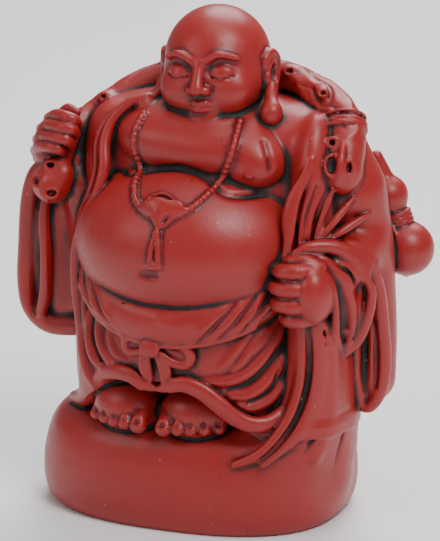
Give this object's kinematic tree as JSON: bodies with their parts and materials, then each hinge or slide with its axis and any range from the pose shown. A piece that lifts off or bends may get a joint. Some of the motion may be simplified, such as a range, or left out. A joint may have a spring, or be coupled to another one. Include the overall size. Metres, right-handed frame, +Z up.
{
  "type": "buddha figurine",
  "caption": "Cast figurine of a calm monk with a bare round belly, standing on a rounded sack and holding a gnarled pole across his shoulders.",
  "frame": {"origin": "centre of the flat underside of the sack, on the surface that the figurine stands on", "axes": "+Z up; the figure faces -Y; its left hand is on +X"},
  "size_m": [0.0964, 0.0623, 0.1193],
  "materials": {
    "red_resin": "deep red cast resin with a satin gloss, a dark wash left in the creases, and rubbed, slightly lighter high points"
  },
  "bodies": {
    "root": {"figurine": "red_resin"}
  },
  "joints": []
}
